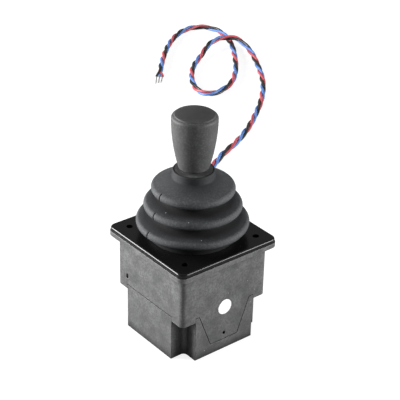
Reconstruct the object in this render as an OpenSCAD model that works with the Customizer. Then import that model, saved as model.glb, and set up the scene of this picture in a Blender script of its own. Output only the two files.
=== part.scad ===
// Single-axis industrial joystick for panel mounting: a sprung lever in a two-part moulded
// housing, sealed by a ribbed boot, with a sensor read through a twisted three-wire lead.

/* [Flange] */
// Width of the square flange
flange_w = 58.4; // [57:0.2:64]
// Corner radius of the flange in plan
flange_corner_r = 3.4; // [1:0.1:5]
// Thickness of the moulded rim under the bezel
rim_t = 2.4; // [2.2:0.1:4]
// How far the rim stands out beyond the bezel
rim_step = 0.4; // [0:0.1:1]
// Thickness of the glossy bezel plate
bezel_t = 2.2; // [2:0.1:4]
// Radius along the top edge of the bezel
bezel_edge_r = 0.9; // [0.4:0.1:1.4]
// Distance between the mounting screw holes
hole_pitch = 43.4; // [42:0.2:44]
// Diameter of the mounting screw holes
hole_d = 3.3; // [2.5:0.1:3.8]

/* [Housing] */
// Width of the square body
body_w = 52; // [50:0.5:53]
// Corner radius of the body
body_corner_r = 2.7; // [1.5:0.1:4]
// Height of the lower housing up to the seam
seam_z = 24.4; // [20:0.2:26]
// Height of the upper housing from the seam to the rim
upper_h = 25.2; // [24:0.2:30]
// Wall thickness of both housings
wall = 2.4; // [1.8:0.1:2.6]
// Thickness of the lower housing's floor
floor_t = 2; // [1.2:0.1:3]
// How far the corner columns reach below the seam
column_drop = 2.4; // [1:0.1:4]
// Width of a corner column
column_w = 8.1; // [7.2:0.1:8.4]
// Radius of a corner column's inner edge
column_r = 2; // [1:0.1:3]
// Clearance between the two housings
housing_gap = 0.15; // [0.1:0.05:0.3]
// Width of the locating tabs inside the seam
guide_w = 22; // [12:0.5:26]
// Thickness of the locating tabs
guide_t = 1.2; // [0.8:0.1:1.6]
// Height of the locating tabs above the lower housing
guide_h = 3; // [2:0.1:5]
// Place of the blind slots along the plain faces
slot_y = 17.8; // [14:0.1:19]
// Height of the blind slots above the seam
slot_h = 4.9; // [3.5:0.1:8]
// Width of a blind slot
slot_w = 1.8; // [1:0.1:2.4]

/* [Side tongues] */
// Width of a tongue at the seam
tongue_w_top = 31; // [24:0.5:32]
// Width of a tongue at its lower end
tongue_w_bottom = 16.6; // [12:0.2:18]
// Length of a tongue below the seam
tongue_len = 18.7; // [14:0.1:19]
// Thickness of a tongue
tongue_t = 1.3; // [0.8:0.1:1.4]
// Diameter of the locking pin through a tongue
pin_d = 1.8; // [1.2:0.1:2.4]
// Height of the locking pin above the base
pin_z = 9.2; // [8:0.1:14]
// Depth of a locking pin's outer end below the tongue
pin_recess = 1; // [0.4:0.1:1.2]
// Diameter of the round blank label
label_d = 8; // [6:0.1:12]
// Thickness of the label
label_t = 0.15; // [0.1:0.05:0.3]

/* [Boot] */
// Radius of the upper, middle and lower rib of the boot
boot_rib_r = [20.2, 23.8, 27.4]; // [18:0.1:30]
// Height of the upper rib above the flange
rib_top_h = 24.6; // [24:0.1:28]
// Distance from one rib to the next
rib_pitch = 8.9; // [8:0.1:9.4]
// Half the thickness of a rib's rounded edge
rib_edge_r = 2.3; // [1.5:0.1:2.6]
// Depth of the valley between two ribs
rib_depth = 6.6; // [4:0.1:7]
// Wall thickness of the boot, measured level
boot_t = 2.4; // [1.8:0.1:2.6]
// Radius of the boot where it stands in the bezel
boot_foot_r = 21.7; // [20.8:0.1:22.5]
// Radius of the collar round the lever
collar_r = 10.2; // [9.8:0.1:12]
// Height of the collar
collar_h = 4; // [3:0.1:5]
// Height of the boot's neck from the upper rib to the collar
neck_h = 3.5; // [2.5:0.1:6]
// Width of the clamped bead beyond the foot
bead_w = 3; // [2:0.1:3.4]
// Thickness of the clamped bead
bead_t = 1.3; // [0.8:0.1:1.4]

/* [Knob] */
// Height of the knob
knob_h = 28.3; // [24:0.1:40]
// Radius of the knob at its rim
knob_r_top = 11.1; // [9:0.1:14]
// Radius of the knob at its lower end
knob_r_bottom = 7.4; // [6.6:0.1:9]
// Radius of the knob's rim
knob_rim_r = 1.6; // [0.6:0.1:2]
// Rise of the crowned top
knob_crown = 1.6; // [0.5:0.1:2]
// Gap between the collar and the knob
knob_gap = 1.3; // [0.5:0.1:2]
// Radius of the threaded insert
insert_r = 5.4; // [5:0.1:6]
// Length of the threaded insert
insert_len = 16; // [10:0.5:18]
// Radius of the ferrule below its lip
ferrule_r = 7; // [6.4:0.1:7.4]
// Radius of the ferrule's lip in the collar
ferrule_lip_r = 9.2; // [8.4:0.1:9.4]
// Thickness of the ferrule's lip
ferrule_lip_t = 1.2; // [0.8:0.1:1.6]
// Radius over the corners of the lock nut
nut_r = 6.4; // [6:0.1:6.8]
// Thickness of the lock nut
nut_t = 4; // [3:0.1:4.4]

/* [Lever and pivot] */
// Diameter of the lever shaft
shaft_d = 8; // [6:0.5:8.5]
// Height of the pivot above the base
pivot_z = 40; // [39:0.1:40.5]
// Largest tilt of the lever each way
tilt_max = 20; // [10:1:20]
// Diameter of the pivot axle
axle_d = 5; // [4:0.1:5.4]
// Radius of the hub round the lever
hub_r = 6; // [5.6:0.1:6.2]
// Half the length of the hub's cross barrel
hub_half_y = 6; // [5.5:0.1:6.2]
// Height of the hub above the pivot
hub_up = 6.5; // [4:0.1:7]
// Depth of the hub below the pivot
hub_down = 12.5; // [12:0.1:13]
// Running clearance of the axle in its bushes
bush_gap = 0.05; // [0.02:0.01:0.1]
// Radial play of pieces that are pushed together
seat_gap = 0.02; // [0.01:0.01:0.05]
// Wall thickness of a bush
bush_wall = 1.4; // [1:0.1:1.6]
// Thickness of a bush's flange
bush_flange_t = 0.8; // [0.5:0.1:1]

/* [Cradle] */
// Clearance between the cradle plate and the corner columns
cradle_gap = 0.2; // [0.1:0.05:0.4]
// Thickness of the cradle plate
cradle_t = 2.4; // [1.8:0.1:2.6]
// Radius of the hole in the cradle plate
cradle_hole_r = 11; // [10.4:0.1:11.4]
// Distance from the middle to an ear
ear_y = 12; // [12:0.1:12.4]
// Thickness of an ear
ear_t = 4; // [3:0.1:4.2]
// Half the width of an ear
ear_r = 7.5; // [7:0.1:8]
// Diameter of the cradle screws
cradle_screw_d = 2; // [1.6:0.1:2.2]
// Distance of a cradle screw from the plate's edges
cradle_screw_edge = 2.4; // [2.1:0.1:2.5]
// How far the cradle screws reach into the rim
cradle_screw_reach = 1.8; // [1.2:0.1:2]

/* [Gate plate] */
// Radius of the steel gate plate
gate_r = 19.8; // [19:0.1:20]
// Thickness of the gate plate
gate_t = 1.45; // [1:0.05:1.5]
// Clearance of the lever in the gate at its stops
gate_gap = 0.25; // [0.2:0.05:0.4]

/* [Centring spring] */
// Wire diameter of the spring
spring_wire_d = 1.1; // [0.8:0.05:1.2]
// Mean radius of the spring's coil
spring_r = 4.8; // [4.7:0.05:5]
// Full turns of the spring
spring_turns = 3; // [2:1:3]
// Length of the spring's legs below the pivot
spring_leg = 16; // [15:0.5:16.5]
// Thickness of the two tabs between the legs
tab_t = 3; // [2.4:0.1:3.2]
// Gap between a tab and a leg
tab_gap = 0.15; // [0.1:0.05:0.3]

/* [Sensor] */
// Width of the sensor board
board_w = 21.4; // [18:0.2:22]
// Height of the sensor board
board_h = 18.3; // [16:0.1:18.6]
// Thickness of the sensor board
board_t = 1.2; // [0.8:0.1:1.4]
// Width of the sensor chip
chip_w = 5; // [3:0.1:6]
// Height of the sensor chip
chip_h = 4; // [3:0.1:6]
// Thickness of the sensor chip
chip_t = 0.7; // [0.5:0.1:0.9]
// Width of the wire header
header_w = 9; // [8.6:0.1:10]
// Height of the wire header
header_h = 4; // [3:0.1:5]
// How far the wire header stands off the board
header_t = 4.4; // [4.3:0.1:5]
// Radius of the magnet
magnet_r = 3; // [2:0.1:3.2]
// Thickness of the magnet
magnet_t = 2; // [1.5:0.1:2.2]
// Air gap between the magnet and the sensor
magnet_gap = 0.5; // [0.3:0.1:0.7]

/* [Lead] */
// Diameter over the three twisted wires
lead_d = 4; // [3.4:0.1:4]
// Side position of the lead's outlet
outlet_x = 11.8; // [11.7:0.1:12]
// Height of the lead's outlet
outlet_z = 6.5; // [6:0.1:7]
// Radius of the grommet where it passes the wall
grommet_r = 2.7; // [2.5:0.05:2.75]
// Width of the grommet's two flanges beyond its neck
grommet_lip = 0.8; // [0.5:0.1:0.9]
// How far the grommet's tapered nose stands out
grommet_len = 7; // [5:0.5:9]

/* [Hidden] */
$fn = 96;
eps = 0.01;

black = "#26282a";
gloss_black = "#121214";
rubber = "#3c3f42";
steel = "#b9bcc0";
brass = "#c8a24a";

rim_z = seam_z + upper_h;
rim_top = rim_z + rim_t;
flange_top = rim_top + bezel_t;
column_in = body_w / 2 - column_w;
cradle_half = column_in - cradle_gap;
cradle_screw_xy = cradle_half - cradle_screw_edge;
inner_half = body_w / 2 - wall;

collar_top = flange_top + rib_top_h + rib_edge_r + neck_h + collar_h;
knob_z = collar_top + knob_gap;
bezel_open_r = boot_foot_r + 0.3;
bead_r = boot_foot_r + bead_w;
bead_in_r = gate_r - 0.8;

shaft_r = shaft_d / 2;
axle_r = axle_d / 2;
shaft_top = knob_z + insert_len + 2;
shaft_bottom = pivot_z - hub_down;
bush_r = axle_r + bush_gap + bush_wall;
bush_end = ear_y + ear_t + bush_flange_t;
tab_half = spring_r - spring_wire_d / 2 - tab_gap;
arbor_r = spring_r - spring_wire_d / 2 - 0.35;
board_y = -inner_half + 0.05;
board_z = pivot_z - board_h / 2 - 2.1;
magnet_y = board_y + board_t + chip_t + magnet_gap;
gate_z = rim_top - gate_t;
outlet_y = body_w / 2 + grommet_len;

// ---- flat outlines ----

module rounded_square(w, r) {
    square([w - 2 * r, w], center = true);
    square([w, w - 2 * r], center = true);
    for (x = [-1, 1], y = [-1, 1]) translate([x, y] * (w / 2 - r)) circle(r);
}

// a corner field from (edge, edge) outwards whose inner edge is rounded
module corner_field(edge, r) {
    translate([edge + r, edge]) square(body_w);
    translate([edge, edge + r]) square(body_w);
    translate([edge + r, edge + r]) circle(r);
}

module four_corners() {
    for (a = [0 : 90 : 270]) rotate(a) children();
}

module tongue_outline(grow) {
    polygon([[-tongue_w_top / 2 - grow, 0], [tongue_w_top / 2 + grow, 0],
             [tongue_w_bottom / 2 + grow, -tongue_len - grow],
             [-tongue_w_bottom / 2 - grow, -tongue_len - grow]]);
}

// both tongue shapes, standing on the two faces that the pivot axle points at
module on_both_faces(depth) {
    for (a = [0, 180]) rotate(a) translate([0, depth - body_w / 2, seam_z])
        rotate([90, 0, 0]) linear_extrude(depth) children();
}

module screw_hole(x, z0, h, r) {
    translate([x, x, z0]) cylinder(h = h, r = r);
}

module along_y(y0, y1, r, z = pivot_z, x = 0) {
    translate([x, y0, z]) rotate([-90, 0, 0]) cylinder(h = y1 - y0, r = r);
}

// ---- swept round wire or lead ----

function unit(v) = v / norm(v);
function tangent(p, i) =
    unit(p[min(i + 1, len(p) - 1)] - p[max(i - 1, 0)]);
function ring(p, t, up, r, n) =
    let (s = unit(cross(t, up)), u = cross(s, t))
    [for (k = [0 : n - 1]) p + r * (cos(360 * k / n) * s + sin(360 * k / n) * u)];

module swept(path, r, n, up = [0, 0, 1]) {
    m = len(path);
    polyhedron(
        points = [for (i = [0 : m - 1]) each ring(path[i], tangent(path, i), up, r, n)],
        faces = concat(
            [[for (k = [0 : n - 1]) k]],
            [for (i = [0 : m - 2], k = [0 : n - 1])
                [i * n + k, (i + 1) * n + k, (i + 1) * n + (k + 1) % n, i * n + (k + 1) % n]],
            [[for (k = [n - 1 : -1 : 0]) (m - 1) * n + k]]));
}

// points on a smooth curve through a list of points
function curve_point(p, i, t) =
    let (a = p[max(i - 1, 0)], b = p[i], c = p[i + 1], d = p[min(i + 2, len(p) - 1)])
    0.5 * (2 * b + (c - a) * t + (2 * a - 5 * b + 4 * c - d) * t * t
           + (3 * b - a - 3 * c + d) * t * t * t);
function smooth(p, steps) = concat(
    [for (i = [0 : len(p) - 2], k = [0 : steps - 1]) curve_point(p, i, k / steps)],
    [p[len(p) - 1]]);

// ---- housings ----

module lower_housing() color(black) {
    notch = column_in - housing_gap;
    top = seam_z - housing_gap;
    difference() {
        linear_extrude(top) difference() {
            rounded_square(body_w, body_corner_r);
            four_corners() corner_field(notch, column_r + housing_gap);
        }
        translate([0, 0, floor_t]) linear_extrude(top) difference() {
            rounded_square(2 * inner_half, body_corner_r - 1);
            four_corners() corner_field(notch - wall, column_r + wall);
        }
        on_both_faces(tongue_t + housing_gap) tongue_outline(housing_gap);
        along_y(inner_half - 1, body_w / 2 + 1, grommet_r + 0.05, outlet_z, outlet_x);
        along_y(-body_w / 2 - 1, body_w / 2 + 1, pin_d / 2, pin_z);
    }
    // locating tabs that stand up inside the upper housing
    root = 4;
    for (a = [0, 180]) rotate(a) translate([inner_half - guide_t, -guide_w / 2, top - root]) {
        translate([-housing_gap, 0, 0]) cube([guide_t, guide_w, root + guide_h]);
        cube([guide_t + 0.2, guide_w, root]);
    }
}

module upper_housing() color(black) difference() {
    union() {
        translate([0, 0, rim_z]) linear_extrude(rim_t)
            rounded_square(flange_w + 2 * rim_step, flange_corner_r + rim_step);
        translate([0, 0, seam_z]) linear_extrude(upper_h + eps) difference() {
            rounded_square(body_w, body_corner_r);
            rounded_square(2 * inner_half, body_corner_r - 1);
        }
        translate([0, 0, seam_z - column_drop]) linear_extrude(upper_h + column_drop + eps)
            intersection() {
                rounded_square(body_w, body_corner_r);
                four_corners() corner_field(column_in, column_r);
            }
        on_both_faces(tongue_t) {
            tongue_outline(0);
            translate([-tongue_w_top / 2, -eps]) square([tongue_w_top, 2]);
        }
        board_guides();
    }
    // way through for the lever, with a seat for the gate plate
    translate([0, 0, rim_z - 1]) cylinder(h = rim_t + 2, r = gate_r - 3);
    translate([0, 0, gate_z]) cylinder(h = rim_t, r = gate_r + 0.2);
    four_corners() screw_hole(hole_pitch / 2, 0, flange_top, hole_d / 2);
    four_corners() screw_hole(cradle_screw_xy, rim_z - 1, cradle_screw_reach + 1.2,
                              cradle_screw_d / 2 + 0.05);
    along_y(-body_w / 2 - 1, body_w / 2 + 1, pin_d / 2, pin_z);
    vent_slots();
}

// two rails that hold the edges of the sensor board
module board_guides() {
    rail = 2;
    x0 = board_w / 2 - 0.6;
    for (s = [-1, 1]) difference() {
        translate([s > 0 ? x0 : -x0 - rail, -inner_half - eps, board_z - 1.2])
            cube([rail, board_t + 1.2, rim_z - board_z + 1.2 + eps]);
        translate([-board_w / 2 - 0.1, -inner_half - 1, board_z])
            cube([board_w + 0.2, board_t + 1.1, rim_z]);
    }
}

// blind moulding slots low on the two plain faces
module vent_slots() {
    for (a = [0, 180]) rotate(a) translate([-body_w / 2 + 0.6, slot_y, seam_z + slot_h])
        rotate([0, -90, 0]) linear_extrude(2) {
            square(slot_w * [0.5, 1], center = true);
            for (s = [-1, 1]) translate([slot_w * s / 4, 0]) circle(slot_w / 2);
        }
}

module bezel() color(gloss_black) difference() {
    translate([0, 0, rim_top]) rolled_plate();
    translate([0, 0, rim_top - 1]) cylinder(h = bezel_t + 2, r = bezel_open_r);
    translate([0, 0, rim_top - 1]) cylinder(h = 1 + bead_t + 0.1, r = bead_r + 0.3);
    four_corners() screw_hole(hole_pitch / 2, rim_top - 1, bezel_t + 2, hole_d / 2);
}

// a square plate whose upper edge is rounded along the sides and round the corners
module rolled_plate() {
    middle = flange_w / 2 - flange_corner_r;
    for (a = [0, 90]) rotate([90, 0, a]) translate([0, 0, -middle]) linear_extrude(2 * middle)
        for (s = [0, 1]) mirror([s, 0]) translate([middle, 0]) rolled_edge(middle);
    four_corners() translate([middle, middle, 0]) rotate_extrude() rolled_edge(0);
}

module rolled_edge(inward) {
    translate([-inward, 0]) square([inward + flange_corner_r, bezel_t - bezel_edge_r]);
    translate([-inward, 0]) square([inward + flange_corner_r - bezel_edge_r, bezel_t]);
    intersection() {
        translate([flange_corner_r - bezel_edge_r, bezel_t - bezel_edge_r]) circle(bezel_edge_r);
        square(2 * flange_corner_r);
    }
}

module label_dot() color("white")
    along_y(-body_w / 2 - label_t, -body_w / 2, label_d / 2, seam_z);

module locking_pins() color(black) for (a = [0, 180]) rotate(a)
    along_y(-body_w / 2 + pin_recess, -inner_half + 0.4, pin_d / 2 - seat_gap, pin_z);

module gate_plate() color(steel) difference() {
    end_r = shaft_r + gate_gap;
    reach = (rim_top - pivot_z) * tan(tilt_max) + shaft_r / cos(tilt_max) + gate_gap;
    translate([0, 0, gate_z]) cylinder(h = gate_t - 0.05, r = gate_r);
    translate([0, 0, gate_z - 1]) linear_extrude(gate_t + 2) {
        square([2 * (reach - end_r), 2 * end_r], center = true);
        for (s = [-1, 1]) translate([s * (reach - end_r), 0]) circle(end_r);
    }
}

// ---- boot ----

// outline of one rib, from its underside to its top
function rib(r, z) = [for (a = [-80 : 20 : 80])
    [r - rib_edge_r + rib_edge_r * cos(a), z + rib_edge_r * sin(a)]];

module boot() color(rubber) {
    rib_z = [for (k = [0 : 2]) flange_top + rib_top_h - k * rib_pitch];
    outer = concat(
        [[boot_foot_r, rim_top], [boot_foot_r, rib_z[2] - rib_edge_r - 1.6]],
        rib(boot_rib_r[2], rib_z[2]),
        [[boot_rib_r[1] - rib_depth, rib_z[2] + rib_pitch / 2 + 0.6]],
        rib(boot_rib_r[1], rib_z[1]),
        [[boot_rib_r[0] - rib_depth, rib_z[1] + rib_pitch / 2 + 0.6]],
        rib(boot_rib_r[0], rib_z[0]),
        [[collar_r + 0.6, collar_top - collar_h], [collar_r, collar_top - collar_h + 0.6],
         [collar_r, collar_top - 0.5], [collar_r - 0.5, collar_top]]);
    last = len(outer) - 1;
    inner = [for (i = [last - 4 : -1 : 1]) [outer[i][0] - boot_t, outer[i][1]]];
    neck_r = ferrule_r + 0.3;
    lip_r = ferrule_lip_r + 0.1;
    rotate_extrude() polygon(concat(
        outer,
        [[lip_r, collar_top], [lip_r, collar_top - ferrule_lip_t - 0.1],
         [neck_r, collar_top - ferrule_lip_t - 0.1], [neck_r, collar_top - collar_h - 1]],
        inner,
        [[boot_foot_r - boot_t, rim_top]]));
    translate([0, 0, rim_top]) difference() {
        cylinder(h = bead_t, r = bead_r);
        translate([0, 0, -1]) cylinder(h = bead_t + 2, r = bead_in_r);
    }
}

// ---- pivot ----

module pivot_cradle() color("#9a9da1") difference() {
    union() {
        translate([0, 0, rim_z - cradle_t]) linear_extrude(cradle_t)
            rounded_square(2 * cradle_half, 2);
        for (s = [0, 1]) mirror([0, s, 0]) {
            translate([-ear_r, ear_y, pivot_z]) cube([2 * ear_r, ear_t, rim_z - pivot_z - 1]);
            along_y(ear_y, ear_y + ear_t, ear_r);
        }
        fixed_z = pivot_z - spring_leg + 0.5;
        translate([-tab_half, ear_y, fixed_z]) cube([2 * tab_half, ear_t, pivot_z - fixed_z]);
        translate([-tab_half, hub_half_y + 1, fixed_z])
            cube([2 * tab_half, ear_y - hub_half_y, tab_t]);
    }
    translate([0, 0, rim_z - cradle_t - 1]) cylinder(h = cradle_t + 2, r = cradle_hole_r);
    along_y(-ear_y - ear_t - 1, ear_y + ear_t + 1, bush_r + seat_gap);
    four_corners() screw_hole(cradle_screw_xy, rim_z - cradle_t - 1, cradle_t + 2,
                              cradle_screw_d / 2 + 0.1);
}

module cradle_screws() color(steel) four_corners() {
    screw_hole(cradle_screw_xy, rim_z - cradle_t, cradle_t + cradle_screw_reach,
               cradle_screw_d / 2);
    difference() {
        screw_hole(cradle_screw_xy, rim_z - cradle_t - 1.4, 1.4, 0.9 * cradle_screw_d);
        translate([cradle_screw_xy, cradle_screw_xy, rim_z - cradle_t - 1.4])
            cube([3 * cradle_screw_d, 0.5, 1.2], center = true);
    }
}

module axle_bushes() color(brass) for (s = [0, 1]) mirror([0, s, 0]) difference() {
    union() {
        along_y(ear_y, ear_y + ear_t + bush_flange_t, bush_r);
        along_y(ear_y + ear_t, bush_end, bush_r + 1.2);
    }
    along_y(ear_y - 1, bush_end + 1, axle_r + bush_gap);
}

module pivot_axle() color(steel) difference() {
    along_y(magnet_y + magnet_t + 0.6, bush_end + 1.8, axle_r);
    difference() {
        along_y(bush_end + 0.3, bush_end + 0.9, axle_r + 1);
        along_y(bush_end, bush_end + 2, axle_r - 0.4);
    }
}

module axle_clip() color(steel) difference() {
    along_y(bush_end + 0.32, bush_end + 0.88, axle_r + 1.6);
    along_y(bush_end, bush_end + 2, axle_r - 0.4 + seat_gap);
    translate([-axle_r * 0.6, bush_end, pivot_z]) cube([axle_r * 1.2, 2, axle_r + 3]);
}

module axle_spacer() color(brass) difference() {
    along_y(-ear_y + 0.1, -hub_half_y, axle_r + 1.2);
    along_y(-ear_y, -hub_half_y + 1, axle_r + seat_gap);
}

module pivot_hub() color("#d9d6cc") difference() {
    drive_z = pivot_z - hub_down + 1.4;
    union() {
        along_y(-hub_half_y, hub_half_y, hub_r + 0.5);
        translate([0, 0, shaft_bottom]) cylinder(h = hub_down + hub_up, r = hub_r);
        along_y(0, ear_y - 0.1, arbor_r);
        translate([-tab_half, 0, drive_z]) cube([2 * tab_half, ear_y - 0.7, tab_t]);
    }
    translate([0, 0, shaft_bottom - 1])
        cylinder(h = hub_down + hub_up + 2, r = shaft_r + seat_gap);
    along_y(-ear_y, ear_y, axle_r + seat_gap);
    translate([0, 0, pivot_z - hub_down / 2 - 1]) rotate([0, 90, 0])
        cylinder(h = hub_r + 1, r = 1.3);
}

module hub_screw() color(steel) translate([shaft_r + seat_gap, 0, pivot_z - hub_down / 2 - 1])
    rotate([0, 90, 0]) difference() {
        cylinder(h = hub_r - shaft_r - 0.2, r = 1.25);
        translate([0, 0, hub_r - shaft_r - 1]) cylinder(h = 2, r = 0.7, $fn = 6);
    }

module lever_shaft() color(steel) difference() {
    translate([0, 0, shaft_bottom]) cylinder(h = shaft_top - shaft_bottom, r = shaft_r);
    along_y(-shaft_d, shaft_d, axle_r + seat_gap);
}

module centring_spring() color("#8d9196") {
    y0 = hub_half_y + 0.2 + spring_wire_d / 2;
    y1 = ear_y - 0.3 - spring_wire_d / 2;
    steps = spring_turns * 16 + 8;
    coil = [for (i = [0 : steps]) let (a = (spring_turns * 360 + 180) * i / steps)
        [spring_r * cos(a), y0 + (y1 - y0) * i / steps, pivot_z + spring_r * sin(a)]];
    swept(concat(
        [[spring_r, y0, pivot_z - spring_leg]], coil, [[-spring_r, y1, pivot_z - spring_leg]]),
        spring_wire_d / 2, 8, [0, 1, 0]);
}

// ---- sensor ----

module sensor_board() color("#1f6b3a")
    translate([-board_w / 2, board_y, board_z]) cube([board_w, board_t, board_h]);

module sensor_chip() color("#222222")
    translate([-chip_w / 2, board_y + board_t, pivot_z - chip_h / 2])
        cube([chip_w, chip_t, chip_h]);

module wire_header() color("#e8e4d8") translate([0, board_y + board_t, board_z + 1])
    difference() {
        translate([-header_w / 2, 0, 0]) cube([header_w, header_t, header_h]);
        for (k = [-1 : 1]) translate([2.5 * k, header_t / 2, 0]) cube([1.8, 1.8, 3], center = true);
    }

module magnet_holder() color("#e8e4d8") difference() {
    along_y(magnet_y, -bush_end - 0.3, magnet_r + 1.2);
    along_y(magnet_y - 1, magnet_y + magnet_t, magnet_r + seat_gap);
    along_y(magnet_y, -bush_end + 1, axle_r + seat_gap);
}

module magnet() color("#777b80")
    along_y(magnet_y, magnet_y + magnet_t - seat_gap, magnet_r);

// ---- lever top ----

module lever_ferrule() color(gloss_black) difference() {
    union() {
        translate([0, 0, collar_top - collar_h - 2]) cylinder(h = collar_h + 2.1, r = ferrule_r);
        translate([0, 0, collar_top - ferrule_lip_t]) cylinder(h = ferrule_lip_t, r = ferrule_lip_r);
    }
    translate([0, 0, collar_top - collar_h - 3])
        cylinder(h = collar_h + 5, r = shaft_r + seat_gap);
}

module lock_nut() color(steel) difference() {
    nut_z = collar_top - collar_h - 2 - nut_t;
    translate([0, 0, nut_z]) cylinder(h = nut_t, r = nut_r, $fn = 6);
    translate([0, 0, nut_z - 1]) cylinder(h = nut_t + 2, r = shaft_r + seat_gap);
}

module knob_insert() color(brass) difference() {
    translate([0, 0, knob_z + 2]) cylinder(h = insert_len, r = insert_r);
    translate([0, 0, knob_z + 1]) cylinder(h = insert_len + 2, r = shaft_r + seat_gap);
}

// the knob swells from its foot like a barrel and stands upright at the rim
function knob_side(t) = knob_r_bottom + (knob_r_top - knob_r_bottom) * sin(90 * pow(t, 0.9));

module knob() color(rubber) {
    rim_z0 = knob_h - knob_crown - knob_rim_r;
    crown_r = (pow(knob_r_top, 2) + pow(knob_crown, 2)) / (2 * knob_crown);
    side = [for (i = [0 : 14]) [knob_side(i / 14), rim_z0 * i / 14]];
    rim = [for (a = [15 : 15 : 75]) [knob_r_top + knob_rim_r * (cos(a) - 1),
                                    rim_z0 + knob_rim_r * sin(a)]];
    crown = [for (i = [0 : 6]) let (x = (knob_r_top - knob_rim_r) * (1 - i / 6))
        [x, knob_h - crown_r + sqrt(crown_r * crown_r - x * x)]];
    translate([0, 0, knob_z]) difference() {
        rotate_extrude() polygon(concat([[0, 0]], side, rim, crown));
        translate([0, 0, -1]) cylinder(h = 4, r = shaft_r + 0.1);
        translate([0, 0, 2]) cylinder(h = insert_len + 0.5, r = insert_r + seat_gap);
    }
}

// ---- lead ----

module lead_grommet() color("#1a1a1a") difference() {
    translate([outlet_x, 0, outlet_z]) rotate([-90, 0, 0]) {
        translate([0, 0, inner_half - 1.2]) cylinder(h = 1.15, r = grommet_r + grommet_lip);
        translate([0, 0, inner_half - 1]) cylinder(h = wall + 2, r = grommet_r);
        translate([0, 0, body_w / 2 + 0.05]) cylinder(h = 1.2, r = grommet_r + grommet_lip);
        translate([0, 0, body_w / 2 + 1])
            cylinder(h = grommet_len - 1, r1 = grommet_r + 0.2, r2 = lead_d / 2 + 0.5);
    }
    along_y(inner_half - 2, outlet_y + 1, lead_d / 2 + 0.05, outlet_z, outlet_x);
}

// inside run of the lead, from the header on the board to the outlet
header_y = board_y + board_t + header_t / 2;
inner_route = [[0, header_y, board_z + 0.9], [0, header_y, 22],
    [1, -17, 13], [4, -8, 7], [8, 4, 5.6], [11.4, 14, 6.3],
    [outlet_x, inner_half - 1, outlet_z], [outlet_x, body_w / 2 - 0.05, outlet_z]];

module inner_lead() color("#303234") swept(smooth(inner_route, 3), lead_d / 2, 8, [1, 0, 0.01]);

// free run of the lead along the surface that the joystick stands on
low = lead_d / 2;
over = lead_d * 1.5 + 0.3;
lead_route = [[outlet_x, body_w / 2, outlet_z], [outlet_x, outlet_y, outlet_z],
    [outlet_x, outlet_y + 6, outlet_z - 0.3],
    [14, 49, 4.2], [20, 61, low + 0.2], [30, 73, low], [44, 86, low], [61, 97, low], [79, 107, low],
    [97, 115, low], [113, 122, low], [129, 131, low], [147, 139, low], [166, 150, low],
    [185, 164, low], [204, 180, low], [224, 202, low], [242, 230, low], [252, 250, low + 0.6],
    [252, 264, over - 0.3], [243, 271, over], [231, 270, over - 1.4], [217, 262, low + 0.4],
    [199, 249, low], [185, 233, low], [177, 217, low], [179, 207, low], [190, 206, low],
    [205, 213, low], [221, 228, low], [236, 247, low], [248, 265, low], [255, 281, low],
    [257, 295, low], [251, 306, low], [238, 308, low], [222, 301, low], [204, 287, low],
    [187, 270, low], [171, 252, low]];

module lead() color("#a03c46") swept(smooth(lead_route, 2), lead_d / 2, 8);

// bare tinned ends of the three wires
end_spread = [[-3.4, -6.4, -0.8], [-1.2, -7.2, -0.8], [1.4, -7.6, -0.8]];

module tinned_ends() color("#cfd2d6") for (k = [0 : 2])
    let (p = lead_route[len(lead_route) - 1] + [(k - 1) * 1.05, (1 - k) * 0.75, 0])
    swept([p + 0.1 * end_spread[k], p + end_spread[k], p + 1.6 * end_spread[k]], 0.5, 8);

lower_housing();
upper_housing();
bezel();
boot();
gate_plate();
pivot_cradle();
cradle_screws();
axle_bushes();
centring_spring();
sensor_board();
sensor_chip();
wire_header();
inner_lead();
lead_grommet();
lead();
tinned_ends();
label_dot();
locking_pins();
lever_shaft();
pivot_hub();
hub_screw();
pivot_axle();
axle_spacer();
axle_clip();
magnet_holder();
magnet();
lever_ferrule();
knob_insert();
lock_nut();
knob();
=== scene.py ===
import math
import bpy
from mathutils import Matrix, Vector


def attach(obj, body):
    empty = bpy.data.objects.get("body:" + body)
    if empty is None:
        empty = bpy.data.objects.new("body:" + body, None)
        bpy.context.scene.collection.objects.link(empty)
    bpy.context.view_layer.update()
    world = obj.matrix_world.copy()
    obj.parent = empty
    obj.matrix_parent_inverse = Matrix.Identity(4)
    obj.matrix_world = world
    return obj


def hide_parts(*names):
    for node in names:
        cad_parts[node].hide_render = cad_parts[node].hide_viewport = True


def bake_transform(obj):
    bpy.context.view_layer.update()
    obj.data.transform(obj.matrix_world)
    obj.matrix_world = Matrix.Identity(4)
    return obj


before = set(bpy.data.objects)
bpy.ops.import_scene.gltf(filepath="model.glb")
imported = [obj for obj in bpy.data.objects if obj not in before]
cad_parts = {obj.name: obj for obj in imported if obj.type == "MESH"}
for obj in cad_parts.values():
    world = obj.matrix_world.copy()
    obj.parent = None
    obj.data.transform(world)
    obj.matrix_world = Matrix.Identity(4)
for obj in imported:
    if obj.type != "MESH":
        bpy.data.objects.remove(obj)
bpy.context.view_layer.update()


camera_heading = math.radians(50.67)
camera_dip = math.radians(29.32)
camera_roll = math.radians(1.44)
camera_distance = 0.7056
camera_lens = 117
camera_aim = Vector((0.0495, 0.0552, 0.0300))

look = Vector((math.cos(camera_dip) * math.cos(camera_heading),
               math.cos(camera_dip) * math.sin(camera_heading), -math.sin(camera_dip)))
level_right = look.cross(Vector((0, 0, 1))).normalized()
level_up = level_right.cross(look)
right = level_right * math.cos(camera_roll) + level_up * math.sin(camera_roll)
up = level_up * math.cos(camera_roll) - level_right * math.sin(camera_roll)

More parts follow.
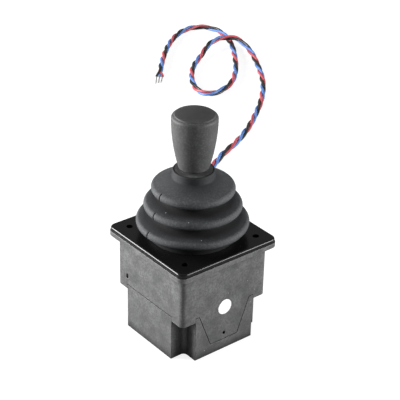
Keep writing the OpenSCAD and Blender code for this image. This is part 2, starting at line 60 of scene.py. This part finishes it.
camera = bpy.data.objects.new("camera", bpy.data.cameras.new("camera"))
camera.data.sensor_width = 36
camera.data.lens = camera_lens
camera.data.clip_start, camera.data.clip_end = 0.05, 20
camera.matrix_world = Matrix.Translation(camera_aim - look * camera_distance) @ Matrix(
    (right, up, -look)).transposed().to_4x4()
bpy.context.scene.collection.objects.link(camera)
bpy.context.scene.camera = camera
bpy.context.scene.view_settings.view_transform = "Standard"


# ---- lead ----
# Three thin wires in red, blue and black PVC are twisted together by machine, left-handed, and
# leave the back wall through a grommet. The lead lies loose on the bench, over itself once.
import numpy as np

lead_width = 0.004
lead_lay = 0.0355

# Three touching wires are 4.31 radii wide, and their middles stand on a circle of 1.1547 radii.
strand_radius = lead_width / 4.31
strand_circle = 1.1547 * strand_radius
strand_sides = 10
fanned_pitch = 2.3 * strand_radius
fanned_length = 0.010

# The route in millimetres; it lies low on the bench, and rises where it crosses over itself.
low = 2.0
over = 6.3
lead_route = [
    (11.8, 26, 6.5), (11.8, 33, 6.5), (11.8, 39, 6.2), (14, 49, 4.2), (20, 61, low + 0.2),
    (30, 73, low), (44, 86, low), (61, 97, low), (79, 107, low), (97, 115, low), (113, 122, low),
    (129, 131, low), (147, 139, low), (166, 150, low), (185, 164, low), (204, 180, low),
    (224, 202, low), (242, 230, low), (252, 250, low + 0.6), (252, 264, over - 0.3),
    (243, 271, over), (231, 270, over - 1.4), (217, 262, low + 0.4), (199, 249, low),
    (185, 233, low), (177, 217, low), (179, 207, low), (190, 206, low), (205, 213, low),
    (221, 228, low), (236, 247, low), (248, 265, low), (255, 281, low), (257, 295, low),
    (251, 306, low), (238, 308, low), (222, 301, low), (204, 287, low), (187, 270, low),
    (171, 252, low)]


def smooth_line(route, steps):
    """A smooth curve in metres through a route's points in millimetres."""
    p = np.array(route, float) / 1000
    p = np.vstack([p[:1], p, p[-1:]])
    t = np.arange(steps)[:, None] / steps
    line = [0.5 * (2 * b + (c - a) * t + (2 * a - 5 * b + 4 * c - d) * t * t
                   + (3 * b - a - 3 * c + d) * t ** 3)
            for a, b, c, d in zip(p, p[1:], p[2:], p[3:])]
    return np.vstack(line + [p[-2:-1]])


def carried_frame(line):
    """Two directions across a line at each point, carried along it without twist."""
    along = np.gradient(line, axis=0)
    along /= np.linalg.norm(along, axis=1)[:, None]
    side = np.cross(along[0], (0, 0, 1))
    sides = []
    for t in along:
        side = side - t * (side @ t)
        side = side / np.linalg.norm(side)
        sides.append(side)
    sides = np.array(sides)
    return sides, np.cross(along, sides)


def twisted_strands(line, open_end=0.0):
    """The middle lines of three wires laid up round a line; the last stretch opens out flat."""
    sides, ups = carried_frame(line)
    far = np.concatenate([[0], np.cumsum(np.linalg.norm(np.diff(line, axis=0), axis=1))])
    loose = np.clip((far - far[-1] + open_end) / max(open_end, 1e-6), 0, 1)[:, None]
    loose = loose * loose * (3 - 2 * loose) if open_end else loose * 0
    strands = []
    for k in range(3):
        angle = (-far / lead_lay * 2 * math.pi + k * 2 * math.pi / 3)[:, None]
        round_it = line + strand_circle * (np.cos(angle) * sides + np.sin(angle) * ups)
        flat = line + sides * (k - 1) * fanned_pitch
        flat[:, 2] = strand_radius
        strands.append(round_it * (1 - loose) + flat * loose)
    return strands, far


def tube(line, radius, sides, lobes=0, lobe_depth=0.0, lobe_lay=1.0):
    """Points and faces of a closed tube along a line, with twisted lobes where it is stranded."""
    a, b = carried_frame(line)
    far = np.concatenate([[0], np.cumsum(np.linalg.norm(np.diff(line, axis=0), axis=1))])
    radius = np.broadcast_to(radius, len(line))
    points, faces = [], []
    for i, p in enumerate(line):
        for k in range(sides):
            angle = 2 * math.pi * k / sides
            wave = abs(math.cos(lobes / 2 * (angle - 2 * math.pi * far[i] / lobe_lay)))
            r = radius[i] - lobe_depth * (1 - wave) if lobes else radius[i]
            points.append(p + r * (math.cos(angle) * a[i] + math.sin(angle) * b[i]))
    for i in range(len(line) - 1):
        for k in range(sides):
            m = (k + 1) % sides
            faces.append((i * sides + k, i * sides + m, (i + 1) * sides + m, (i + 1) * sides + k))
    faces.append(tuple(range(sides))[::-1])
    faces.append(tuple((len(line) - 1) * sides + k for k in range(sides)))
    return points, faces


def piece_of(name, shapes, materials):
    """One smooth-shaded object from (points, faces, material number) shapes."""
    points, faces, numbers = [], [], []
    for p, f, number in shapes:
        faces += [tuple(len(points) + i for i in face) for face in f]
        points += [tuple(v) for v in p]
        numbers += [number] * len(f)
    mesh = bpy.data.meshes.new(name)
    mesh.from_pydata(points, [], faces)
    for m in materials:
        mesh.materials.append(m)
    mesh.polygons.foreach_set("material_index", numbers)
    mesh.polygons.foreach_set("use_smooth", [len(f) < 5 for f in faces])
    mesh.validate()
    made = bpy.data.objects.new(name, mesh)
    bpy.context.scene.collection.objects.link(made)
    return made


def node_group(name, inputs, outputs):
    """An empty shader node group: (name, kind, value) for what goes in, (name, kind) for out."""
    group = bpy.data.node_groups.new(name, "ShaderNodeTree")
    kinds = {"value": "NodeSocketFloat", "direction": "NodeSocketVector"}
    for socket, kind, value in inputs:
        made = group.interface.new_socket(socket, in_out="INPUT", socket_type=kinds[kind])
        made.default_value = value
    for socket, kind in outputs:
        group.interface.new_socket(socket, in_out="OUTPUT", socket_type=kinds[kind])
    return group, group.nodes.new("NodeGroupInput"), group.nodes.new("NodeGroupOutput")


def add(tree, kind, **settings):
    """A new shader node with its settings, and a value or a link for each input socket named."""
    node = tree.nodes.new("ShaderNode" + kind)
    sockets = settings.pop("sockets", {})
    for key, value in settings.items():
        setattr(node, key, value)
    for key, value in sockets.items():
        if isinstance(value, bpy.types.NodeSocket):
            tree.links.new(value, node.inputs[key])
        else:
            node.inputs[key].default_value = value
    return node


def math_of(tree, operation, first, second=0.0):
    """One maths step between two values."""
    return add(tree, "Math", operation=operation, sockets={0: first, 1: second}).outputs[0]


# Fine scatter that the finishes share: broad cloudy mottling, fine grain and a few pale specks.
few_specks = 0.86
scatter, goes_in, goes_out = node_group(
    "scatter", [("Cloud scale", "value", 60.0), ("Grain scale", "value", 1500.0),
                ("Speck scale", "value", 500.0), ("Speck size", "value", 0.1)],
    [("Cloud", "value"), ("Grain", "value"), ("Speck", "value")])
place = add(scatter, "TexCoord").outputs["Object"]
cloud = add(scatter, "TexNoise", sockets={"Vector": place, "Scale": goes_in.outputs["Cloud scale"],
                                         "Detail": 6.0, "Roughness": 0.62})
grain = add(scatter, "TexNoise", sockets={"Vector": place, "Scale": goes_in.outputs["Grain scale"],
                                         "Detail": 3.0, "Roughness": 0.6})
cells = add(scatter, "TexVoronoi", sockets={"Vector": place, "Scale": goes_in.outputs["Speck scale"],
                                           "Randomness": 1.0})
spot = math_of(scatter, "LESS_THAN", cells.outputs["Distance"], goes_in.outputs["Speck size"])
chosen = add(scatter, "SeparateColor", sockets={"Color": cells.outputs["Color"]})
few = math_of(scatter, "GREATER_THAN", chosen.outputs["Red"], few_specks)
scatter.links.new(cloud.outputs["Fac"], goes_out.inputs["Cloud"])
scatter.links.new(grain.outputs["Fac"], goes_out.inputs["Grain"])
scatter.links.new(math_of(scatter, "MULTIPLY", spot, few), goes_out.inputs["Speck"])


def new_finish(name, **constants):
    """A material with one Principled shader, whose plain values are set on its own sockets."""
    material = bpy.data.materials.new(name)
    material.use_nodes = True
    shader = material.node_tree.nodes["Principled BSDF"]
    for socket, value in constants.items():
        shader.inputs[socket.replace("_", " ")].default_value = value
    return material, material.node_tree, shader


def place_group(tree, group, **values):
    """A shared node group placed in a material, with its own values."""
    node = tree.nodes.new("ShaderNodeGroup")
    node.node_tree = group
    for socket, value in values.items():
        node.inputs[socket].default_value = value
    return node


def place_scatter(tree, cloud_scale, grain_scale, speck_scale=500.0, speck_size=0.1):
    """The shared scatter placed in a material with its own scales, in waves per metre."""
    node = place_group(tree, scatter)
    for socket, value in zip(node.inputs, (cloud_scale, grain_scale, speck_scale, speck_size)):
        socket.default_value = value
    return node


def between(tree, amount, first, last):
    """A colour that goes from first to last with an amount."""
    mix = add(tree, "Mix", data_type="RGBA")
    for socket, value in ((mix.inputs[0], amount), (mix.inputs[6], first), (mix.inputs[7], last)):
        if isinstance(value, bpy.types.NodeSocket):
            tree.links.new(value, socket)
        else:
            socket.default_value = value
    return mix.outputs[2]


def spread(tree, value, low, high, to_low, to_high):
    """A value carried from one range to another and held inside it."""
    return add(tree, "MapRange", sockets={"Value": value, "From Min": low, "From Max": high,
                                          "To Min": to_low, "To Max": to_high}).outputs[0]


def grain_bump(tree, marks, strength, normal=None):
    """The fine grain raised on the surface, over another normal where there is one."""
    bump = add(tree, "Bump", sockets={"Height": marks.outputs["Grain"], "Strength": strength,
                                      "Distance": 0.0002})
    if normal:
        tree.links.new(normal, bump.inputs["Normal"])
    return bump.outputs[0]


def wire_finish(name, plain, worn):
    """Shiny PVC wire cover, a little paler and duller where hands have rubbed it."""
    material, tree, shader = new_finish(name, IOR=1.5)
    marks = place_scatter(tree, 260, 2400, 900, 0.08)
    amount = spread(tree, marks.outputs["Cloud"], 0.35, 0.7, 0.0, 1.0)
    tree.links.new(between(tree, amount, plain, worn), shader.inputs["Base Color"])
    tree.links.new(spread(tree, marks.outputs["Cloud"], 0.3, 0.7, 0.3, 0.48),
                   shader.inputs["Roughness"])
    tree.links.new(grain_bump(tree, marks, 0.08), shader.inputs["Normal"])
    return material


wire_covers = [wire_finish("wire_red", (0.42, 0.060, 0.078, 1), (0.52, 0.11, 0.13, 1)),
               wire_finish("wire_blue", (0.075, 0.17, 0.46, 1), (0.13, 0.25, 0.56, 1)),
               wire_finish("wire_black", (0.012, 0.012, 0.012, 1), (0.03, 0.028, 0.026, 1))]

lead_line = smooth_line(lead_route, 12)
wires, lead_far = twisted_strands(lead_line, fanned_length)
lead = piece_of("twisted_lead", [(*tube(w, strand_radius, strand_sides), k)
                                 for k, w in enumerate(wires)], wire_covers)
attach(lead, "housing")
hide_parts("lead")

# The covers are stripped back and the stranded ends are twisted and tinned, ready to solder.
tinned, tree, shader = new_finish("tinned_copper", Metallic=1.0)
marks = place_scatter(tree, 900, 5000)
tree.links.new(between(tree, marks.outputs["Cloud"], (0.62, 0.61, 0.60, 1), (0.82, 0.81, 0.79, 1)),
               shader.inputs["Base Color"])
tree.links.new(spread(tree, marks.outputs["Cloud"], 0.3, 0.7, 0.22, 0.42), shader.inputs["Roughness"])
end_radius = 0.00038
end_sides = 20
end_strands, end_groove, end_lay = 6, 0.00006, 0.006
end_inside = 0.0015
end_length = 0.0095
end_uneven = 0.001
end_spread = 0.12
end_droop, end_lowest = 0.06, 0.0004
ends = []
for k, wire in enumerate(wires):
    ahead = wire[-1] - wire[-2]
    ahead[2] = 0
    ahead /= np.linalg.norm(ahead)
    aside = np.array((-ahead[1], ahead[0], 0)) * (k - 1) * end_spread
    reach = np.linspace(-end_inside, end_length + end_uneven * k, 16)[:, None]
    line = wire[-1] + (ahead + aside) * reach
    line[:, 2] = np.clip(strand_radius - reach[:, 0] * end_droop, end_lowest, None)
    ends.append((*tube(line, end_radius, end_sides, end_strands, end_groove, end_lay), 0))
tinned_ends = piece_of("stranded_ends", ends, [tinned])
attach(tinned_ends, "housing")
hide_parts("tinned_ends")

# The inside run is the same three wires, from the board's header to the wall.
inner_route = [(0, -20.15, 29.65), (0, -20.15, 22), (1, -17, 13), (4, -8, 7), (8, 4, 5.6),
               (11.4, 14, 6.3), (11.8, 22.6, 6.5), (11.8, 25.95, 6.5)]
inner_sides = 8
inner_wires = twisted_strands(smooth_line(inner_route, 8))[0]
inner_lead = piece_of("inner_wires", [(*tube(w, strand_radius, inner_sides), k)
                                     for k, w in enumerate(inner_wires)], wire_covers)
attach(inner_lead, "housing")
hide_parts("inner_lead")


# ---- housing ----
# Both halves are injection moulded in black glass-filled nylon with a fine spark-eroded skin.
# The upper half carries the panel rim; its tongues and corner columns reach over the lower half.

# Edges: where a corner is within a radius, and the normal that rounds it off.
edges, goes_in, goes_out = node_group(
    "edges", [("Radius", "value", 0.0005), ("Sharpness", "value", 6.0)],
    [("Edge", "value"), ("Normal", "direction")])
rounded = add(edges, "Bevel", samples=6, sockets={"Radius": goes_in.outputs["Radius"]})
true_normal = add(edges, "NewGeometry").outputs["Normal"]
agree = add(edges, "VectorMath", operation="DOT_PRODUCT",
            sockets={0: rounded.outputs[0], 1: true_normal})
gap = math_of(edges, "SUBTRACT", 1.0, agree.outputs["Value"])
edge = add(edges, "Math", operation="MULTIPLY", use_clamp=True,
           sockets={0: gap, 1: goes_in.outputs["Sharpness"]})
edges.links.new(edge.outputs[0], goes_out.inputs["Edge"])
edges.links.new(rounded.outputs[0], goes_out.inputs["Normal"])

# Fold shade: how open a place is, from 0 far into a fold or corner to 1 out on a free face; the
# finishes paint shade with it.
fold_shade, goes_in, goes_out = node_group("fold_shade", [("Reach", "value", 0.012)], [("Open", "value")])
shut_in = add(fold_shade, "AmbientOcclusion", samples=8, sockets={"Distance": goes_in.outputs["Reach"]})
fold_shade.links.new(shut_in.outputs["AO"], goes_out.inputs["Open"])


def height_up(tree):
    """The height above the housing's underside, with the lever upright."""
    at = add(tree, "SeparateXYZ", sockets={0: add(tree, "TexCoord").outputs["Object"]})
    return at.outputs["Z"]


# The joints between the halves are painted as dark hairlines of shade in the gaps: a level one at the
# seam, and round each tongue a sloping one on both sides and a short one under its foot.
seam_height = 0.0244
tongue_foot = 0.0057
tongue_foot_half, tongue_top_half = 0.0083, 0.0155
column_inner = 0.0179
end_face_from = 0.0245
hairline = 0.00022

joints, goes_in, goes_out = node_group("joints", [], [("Line", "value")])
at = add(joints, "SeparateXYZ", sockets={0: add(joints, "TexCoord").outputs["Object"]})


def near(value, target):
    """One where a value is within a hairline of its target."""
    off = math_of(joints, "ABSOLUTE", math_of(joints, "SUBTRACT", value, target))
    return math_of(joints, "LESS_THAN", off, hairline)


slope = (tongue_top_half - tongue_foot_half) / (seam_height - tongue_foot)
half_here = math_of(joints, "ADD", math_of(joints, "MULTIPLY", at.outputs["Z"], slope),
                    tongue_foot_half - slope * tongue_foot)
across = math_of(joints, "ABSOLUTE", at.outputs["X"])
on_end = math_of(joints, "GREATER_THAN", math_of(joints, "ABSOLUTE", at.outputs["Y"]), end_face_from)
above_foot = math_of(joints, "GREATER_THAN", at.outputs["Z"], tongue_foot)
below_seam = math_of(joints, "LESS_THAN", at.outputs["Z"], seam_height)
sloping = math_of(joints, "MULTIPLY", near(across, half_here),
                  math_of(joints, "MULTIPLY", above_foot, below_seam))
short = math_of(joints, "MULTIPLY", near(at.outputs["Z"], tongue_foot),
                math_of(joints, "LESS_THAN", across, tongue_foot_half))
on_tongue = math_of(joints, "MULTIPLY", on_end, math_of(joints, "MAXIMUM", sloping, short))
beside = math_of(joints, "MAXIMUM", math_of(joints, "SUBTRACT", 1.0, on_end),
                 math_of(joints, "GREATER_THAN", across, tongue_top_half))
deep_in = math_of(joints, "MINIMUM", across, math_of(joints, "ABSOLUTE", at.outputs["Y"]))
between_columns = math_of(joints, "LESS_THAN", deep_in, column_inner)
level = math_of(joints, "MULTIPLY", near(at.outputs["Z"], seam_height),
                math_of(joints, "MULTIPLY", beside, between_columns))
joints.links.new(math_of(joints, "MAXIMUM", on_tongue, level), goes_out.inputs["Line"])

housing_plastic, tree, shader = new_finish("housing_plastic", IOR=1.5, Specular_IOR_Level=0.45)
marks = place_scatter(tree, 130, 950, 420, 0.10)
rim = place_group(tree, edges, Radius=0.0005)
shade_mask = place_group(tree, fold_shade, Reach=0.006)
lines = place_group(tree, joints)
mottle = between(tree, spread(tree, marks.outputs["Cloud"], 0.36, 0.66, 0.0, 1.0),
                 (0.098, 0.099, 0.100, 1), (0.180, 0.181, 0.181, 1))
grained = between(tree, spread(tree, marks.outputs["Grain"], 0.42, 0.62, 0.0, 0.62), mottle,
                  (0.058, 0.058, 0.059, 1))
# Painted shade: the colour darkens towards the bottom of the housing.
painted_shade_below = between(tree, spread(tree, height_up(tree), 0.0, 0.05, 0.45, 0.0), grained,
                       (0.055, 0.055, 0.056, 1))
# Painted shade: near black in corners, notches and under the rim, where little light reaches.
painted_corner_shade = between(tree, spread(tree, shade_mask.outputs["Open"], 0.45, 0.95, 0.0, 1.0),
                   (0.010, 0.010, 0.010, 1), painted_shade_below)
specked = between(tree, marks.outputs["Speck"], painted_corner_shade, (0.34, 0.34, 0.33, 1))
# Painted highlight: a paler line along the edges, where they are rounded off.
painted_edge_highlight = between(tree, spread(tree, rim.outputs["Edge"], 0.0, 1.0, 0.0, 0.35), specked,
                (0.22, 0.22, 0.22, 1))
# Painted shade: the dark hairlines along the joints between the halves.
tree.links.new(between(tree, lines.outputs["Line"], painted_edge_highlight, (0.008, 0.008, 0.008, 1)),
               shader.inputs["Base Color"])
dulled = spread(tree, marks.outputs["Cloud"], 0.3, 0.7, 0.40, 0.58)
tree.links.new(math_of(tree, "MAXIMUM", dulled, lines.outputs["Line"]), shader.inputs["Roughness"])
tree.links.new(grain_bump(tree, marks, 0.25, rim.outputs["Normal"]), shader.inputs["Normal"])


def dress(material, *nodes):
    """Gives carried-over CAD nodes their finish."""
    for name in nodes:
        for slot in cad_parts[name].material_slots:
            slot.material = material


dress(housing_plastic, "lower_housing", "upper_housing", "locking_pins")


# ---- bezel ----
# A square plate of polished black acrylic with a rolled edge, pressed flat on the rim; it holds
# down the foot of the boot, and the four panel screws go through its corners.
bezel_gloss, tree, shader = new_finish("bezel_gloss", IOR=1.5, Specular_IOR_Level=0.3)
marks = place_scatter(tree, 30, 2600, 300, 0.05)
tree.links.new(between(tree, marks.outputs["Speck"], (0.006, 0.006, 0.006, 1),
                       (0.05, 0.05, 0.05, 1)), shader.inputs["Base Color"])
tree.links.new(spread(tree, marks.outputs["Cloud"], 0.35, 0.7, 0.18, 0.30), shader.inputs["Roughness"])
tree.links.new(grain_bump(tree, marks, 0.04), shader.inputs["Normal"])
dress(bezel_gloss, "bezel")


# ---- boot ----
# Moulded chloroprene rubber: three rolled ribs that fold when the lever tilts, a collar round
# the lever and a foot clamped under the bezel. The mould's parting line nicks each rib.
bezel_floor = 0.052
foot_radius, foot_heights = 0.0217, (bezel_floor, 0.0545, 0.0573)
rib_radii = (0.0274, 0.0238, 0.0202)
rib_heights = (0.0610, 0.0699, 0.0788)
rib_edge = 0.0023
valley_radii, valley_rise = (0.0172, 0.0136), 0.00505
boot_wall = 0.0022
collar_radius = 0.0102
collar_top, collar_foot = 0.0886, 0.0846
collar_root, collar_edge = 0.0006, 0.0004
lip_radius, lip_seat = 0.0093, 0.0873
collar_bore = 0.0073

boot_profile = [(foot_radius, z) for z in foot_heights]
for k in range(3):
    middle = rib_radii[k] - rib_edge
    for step in range(-80, 81, 8):
        angle = math.radians(step)
        boot_profile.append((middle + rib_edge * math.cos(angle),
                             rib_heights[k] + rib_edge * math.sin(angle)))
    if k < 2:
        boot_profile.append((valley_radii[k], rib_heights[k] + valley_rise))
collar_profile = [
    (collar_radius + collar_root, collar_foot), (collar_radius, collar_foot + collar_root),
    (collar_radius, collar_top - collar_root), (collar_radius - collar_edge, collar_top),
    (lip_radius, collar_top), (lip_radius, lip_seat), (collar_bore, lip_seat),
    (collar_bore, collar_foot - 0.001)]


def eased_profile(profile):
    """The profile with its corners cut at a quarter and three quarters of each leg."""
    eased = [profile[0]]
    for (r0, z0), (r1, z1) in zip(profile, profile[1:]):
        eased += [(r0 * 0.75 + r1 * 0.25, z0 * 0.75 + z1 * 0.25),
                  (r0 * 0.25 + r1 * 0.75, z0 * 0.25 + z1 * 0.75)]
    return eased + [profile[-1]]


def turned(profile, angles):
    """Points and faces of a profile of (radius, height) turned round the lever's axis."""
    points = [(r * math.cos(a), r * math.sin(a), z) for a in angles for r, z in profile]
    n, m = len(angles), len(profile)
    faces = [(i * m + k, (i + 1) % n * m + k, (i + 1) % n * m + k + 1, i * m + k + 1)
             for i in range(n) for k in range(m - 1)]
    return points, faces


# The parting line runs down the -X side, with a few more points round it for the nicks.
parting = math.pi
nick_half, nick_depth, nick_reach = 0.0135, 0.0005, 0.0016
around = 144
angles = sorted([parting + s * nick_half * w for s in (-1, 1) for w in (0.5, 1.0)] + [parting]
                + [2 * math.pi * k / around for k in range(around) if k != around // 2])
outside = eased_profile(boot_profile) + collar_profile
inside = [(r - boot_wall, z) for r, z in outside if z < collar_foot - 0.0012][::-1]
points, faces = turned(outside + inside, angles)
boot = piece_of("rubber_boot", [(points, faces, 0)], [])
for v in boot.data.vertices:
    off = abs(math.atan2(v.co.y, -v.co.x))
    spread_out = math.hypot(v.co.x, v.co.y)
    for r, z in zip(rib_radii, rib_heights):
        on_rib = abs(v.co.z - z) < rib_edge * 1.2 and spread_out > r - nick_reach
        if off < nick_half * 0.9 and on_rib:
            v.co.x += nick_depth * (1 - off / nick_half)

boot_rubber, tree, shader = new_finish("boot_rubber", IOR=1.5, Specular_IOR_Level=0.25)
marks = place_scatter(tree, 90, 1100, 260, 0.07)
skin = between(tree, spread(tree, marks.outputs["Cloud"], 0.32, 0.7, 0.0, 1.0),
               (0.058, 0.062, 0.066, 1), (0.082, 0.086, 0.091, 1))
grained = between(tree, spread(tree, marks.outputs["Grain"], 0.45, 0.68, 0.0, 0.5), skin,
                  (0.170, 0.177, 0.184, 1))
# Painted shade, near black, in the valleys between the ribs.
shade_mask = place_group(tree, fold_shade, Reach=0.012)
painted_fold_shade = between(tree, spread(tree, shade_mask.outputs["Open"], 0.64, 1.0, 0.0, 1.0),
               (0.006, 0.006, 0.007, 1), grained)
# Painted shade: the boot a little darker all over, and the collar at the top much darker.
painted_collar_shade = between(tree, spread(tree, height_up(tree), 0.0800, 0.0850, 0.15, 0.85), painted_fold_shade,
                   (0.014, 0.015, 0.016, 1))
tree.links.new(between(tree, marks.outputs["Speck"], painted_collar_shade, (0.40, 0.42, 0.43, 1)),
               shader.inputs["Base Color"])
tree.links.new(spread(tree, marks.outputs["Grain"], 0.3, 0.7, 0.62, 0.78), shader.inputs["Roughness"])
tree.links.new(grain_bump(tree, marks, 0.3), shader.inputs["Normal"])
boot.data.materials.append(boot_rubber)
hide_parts("boot")
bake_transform(boot)


# ---- knob ----
# One moulding of soft-feel black plastic with barrel sides, a rolled rim and a slightly domed
# top, screwed on the lever by its brass insert. The ferrule under it fills the boot's collar.
knob_top, knob_top_edge = 0.1176, 0.1164
knob_plastic, tree, shader = new_finish("knob_plastic", IOR=1.5, Specular_IOR_Level=0.4)
marks = place_scatter(tree, 120, 1100, 340, 0.07)
skin = between(tree, spread(tree, marks.outputs["Cloud"], 0.32, 0.7, 0.0, 1.0),
               (0.046, 0.047, 0.047, 1), (0.070, 0.071, 0.070, 1))
grained = between(tree, spread(tree, marks.outputs["Grain"], 0.45, 0.68, 0.0, 0.5), skin,
                  (0.130, 0.131, 0.128, 1))
# Painted shade: the domed top darker towards its middle.
painted_top_shade = between(tree, spread(tree, height_up(tree), knob_top_edge, knob_top, 0.0, 0.6), grained,
                  (0.018, 0.018, 0.018, 1))
tree.links.new(between(tree, marks.outputs["Speck"], painted_top_shade, (0.30, 0.30, 0.29, 1)),
               shader.inputs["Base Color"])
tree.links.new(spread(tree, marks.outputs["Grain"], 0.3, 0.7, 0.52, 0.68), shader.inputs["Roughness"])
tree.links.new(grain_bump(tree, marks, 0.22), shader.inputs["Normal"])
dress(knob_plastic, "knob", "lever_ferrule")


# ---- label ----
# A blank round dot of matt white film, punched from self-adhesive sheet and stuck on the
# front face at the height of the seam.
label_film, tree, shader = new_finish("label_film", IOR=1.45, Specular_IOR_Level=0.2)
marks = place_scatter(tree, 400, 6000)
tree.links.new(between(tree, marks.outputs["Cloud"], (0.96, 0.96, 0.95, 1), (0.99, 0.99, 0.99, 1)),
               shader.inputs["Base Color"])
tree.links.new(spread(tree, marks.outputs["Grain"], 0.3, 0.7, 0.7, 0.85), shader.inputs["Roughness"])
dress(label_film, "label_dot")


# ---- steel pieces ----
# Turned, stamped and coiled from steel and brightly plated: the gate that stops the lever, the
# axle with its clip, the screws, the nut below the ferrule and the spring. The magnet, pressed
# in its holder, is plated too.
def clouded_finish(name, scales, colours, dullness, **constants):
    """A plain finish with a cloudy colour and a grainy dullness, each from low to high."""
    material, tree, shader = new_finish(name, **constants)
    marks = place_scatter(tree, *scales)
    tree.links.new(between(tree, marks.outputs["Cloud"], *colours), shader.inputs["Base Color"])
    tree.links.new(spread(tree, marks.outputs["Grain"], 0.3, 0.7, *dullness),
                   shader.inputs["Roughness"])
    return material


plated_steel = clouded_finish("plated_steel", (200, 3500),
                              ((0.42, 0.42, 0.43, 1), (0.62, 0.62, 0.63, 1)), (0.24, 0.42),
                              Metallic=1.0)
dress(plated_steel, "gate_plate", "cradle_screws", "pivot_axle", "axle_clip", "hub_screw",
      "lock_nut", "centring_spring", "magnet")


# ---- lever shaft ----
# A turned steel rod, coloured near black as painted shade where it shows in the gap under the knob.
# It goes down through the hub, where the axle crosses it and a grub screw holds it.
steel_painted_dark = clouded_finish("steel_painted_dark", (300, 3500),
                                 ((0.010, 0.010, 0.011, 1), (0.022, 0.022, 0.023, 1)),
                                 (0.42, 0.6), Metallic=0.6)
dress(steel_painted_dark, "lever_shaft")


# ---- brass pieces ----
# Turned brass: the two flanged bushes that the axle runs in, the spacer on the axle between
# one ear and the hub, and the threaded insert that is pressed into the knob.
turned_brass = clouded_finish("turned_brass", (200, 3500),
                              ((0.58, 0.40, 0.14, 1), (0.78, 0.58, 0.24, 1)), (0.22, 0.4),
                              Metallic=1.0)
dress(turned_brass, "axle_bushes", "axle_spacer", "knob_insert")


# ---- pivot cradle ----
# An aluminium die casting, left as cast and a little dull. Its two ears carry the bushes, and
# four screws from below hold it up under the rim.
cast_aluminium = clouded_finish("cast_aluminium", (300, 2500),
                                ((0.30, 0.31, 0.32, 1), (0.46, 0.47, 0.48, 1)), (0.42, 0.6),
                                Metallic=1.0)
dress(cast_aluminium, "pivot_cradle")


# ---- hub, magnet holder and wire header ----
# Small mouldings in natural, cream-white acetal: the hub on the axle, the cup that carries the
# magnet on the axle's end, and the header on the board that takes the three wires.
pale_acetal = clouded_finish("pale_acetal", (150, 2500),
                             ((0.62, 0.60, 0.54, 1), (0.74, 0.72, 0.66, 1)), (0.3, 0.45), IOR=1.48)
dress(pale_acetal, "pivot_hub", "magnet_holder", "wire_header")


# ---- sensor board ----
# A small glass-fibre circuit board under green solder lacquer. It stands upright in front of
# the magnet and carries the sensor chip and the header.
board_lacquer = clouded_finish("board_lacquer", (700, 4000),
                               ((0.01, 0.09, 0.035, 1), (0.02, 0.15, 0.06, 1)), (0.2, 0.35),
                               IOR=1.5)
dress(board_lacquer, "sensor_board")


# ---- sensor chip and grommet ----
# Matt black pieces: the chip in its moulded epoxy case, soldered to the board, and the rubber
# grommet that is pushed into the back wall round the lead.
matt_black = clouded_finish("chip_black", (900, 6000),
                            ((0.015, 0.015, 0.016, 1), (0.03, 0.03, 0.03, 1)), (0.5, 0.7),
                            IOR=1.5)
dress(matt_black, "sensor_chip", "lead_grommet")


# ---- bench and light ----
# The joystick stands on a plain white bench between two soft lamps, a little behind it on the
# left and right, with a weak one overhead.
bench_half = 3.0
bench = piece_of("bench", [([(-bench_half, -bench_half, 0), (bench_half, -bench_half, 0),
                             (bench_half, bench_half, 0), (-bench_half, bench_half, 0)],
                            [(0, 1, 2, 3)], 0)], [])
bench_near, bench_far = 0.4, 1.4
bench_white, tree, shader = new_finish("bench_white", Roughness=0.9, Specular_IOR_Level=0.1,
                                       Base_Color=(0.3, 0.3, 0.3, 1),
                                       Emission_Color=(1, 1, 1, 1))


def ray_strength(tree, lighting, mirrored, seen):
    """A strength for rays that light things, one for rays in their shine and one for the view."""
    path = add(tree, "LightPath")
    shine = spread(tree, path.outputs["Is Glossy Ray"], 0, 1, lighting, mirrored)
    return spread(tree, path.outputs["Is Camera Ray"], 0, 1, shine, seen)


out_there = add(tree, "VectorMath", operation="LENGTH",
                sockets={0: add(tree, "TexCoord").outputs["Object"]}).outputs["Value"]
tree.links.new(ray_strength(tree, 0.0, 0.2, spread(tree, out_there, bench_near, bench_far, 0.85, 1.0)),
               shader.inputs["Emission Strength"])
bench.data.materials.append(bench_white)

room = bpy.data.worlds.new("room")
bpy.context.scene.world = room
room.use_nodes = True
tree = room.node_tree
sky = tree.nodes["Background"]
sky.inputs["Color"].default_value = (1, 1, 1, 1)
tree.links.new(ray_strength(tree, 0.08, 0.24, 1.0), sky.inputs["Strength"])


def soft_lamp(name, heading, height, distance, size, power):
    """A square soft lamp that points at the joystick: degrees round and up, metres and watts."""
    lamp = bpy.data.objects.new(name, bpy.data.lights.new(name, "AREA"))
    lamp.data.shape = "SQUARE"
    lamp.data.size = size
    lamp.data.energy = power
    middle = Vector((0, 0, 0.06))
    away = Vector((math.cos(math.radians(height)) * math.cos(math.radians(heading)),
                   math.cos(math.radians(height)) * math.sin(math.radians(heading)),
                   math.sin(math.radians(height))))
    lamp.location = middle + away * distance
    lamp.rotation_euler = away.to_track_quat("Z", "Y").to_euler()
    bpy.context.scene.collection.objects.link(lamp)


soft_lamp("left_lamp", 134, 14, 1.0, 0.5, 27)
soft_lamp("right_lamp", -46, 14, 1.0, 0.5, 14)
soft_lamp("top_lamp", 50, 70, 1.1, 0.8, 1.2)
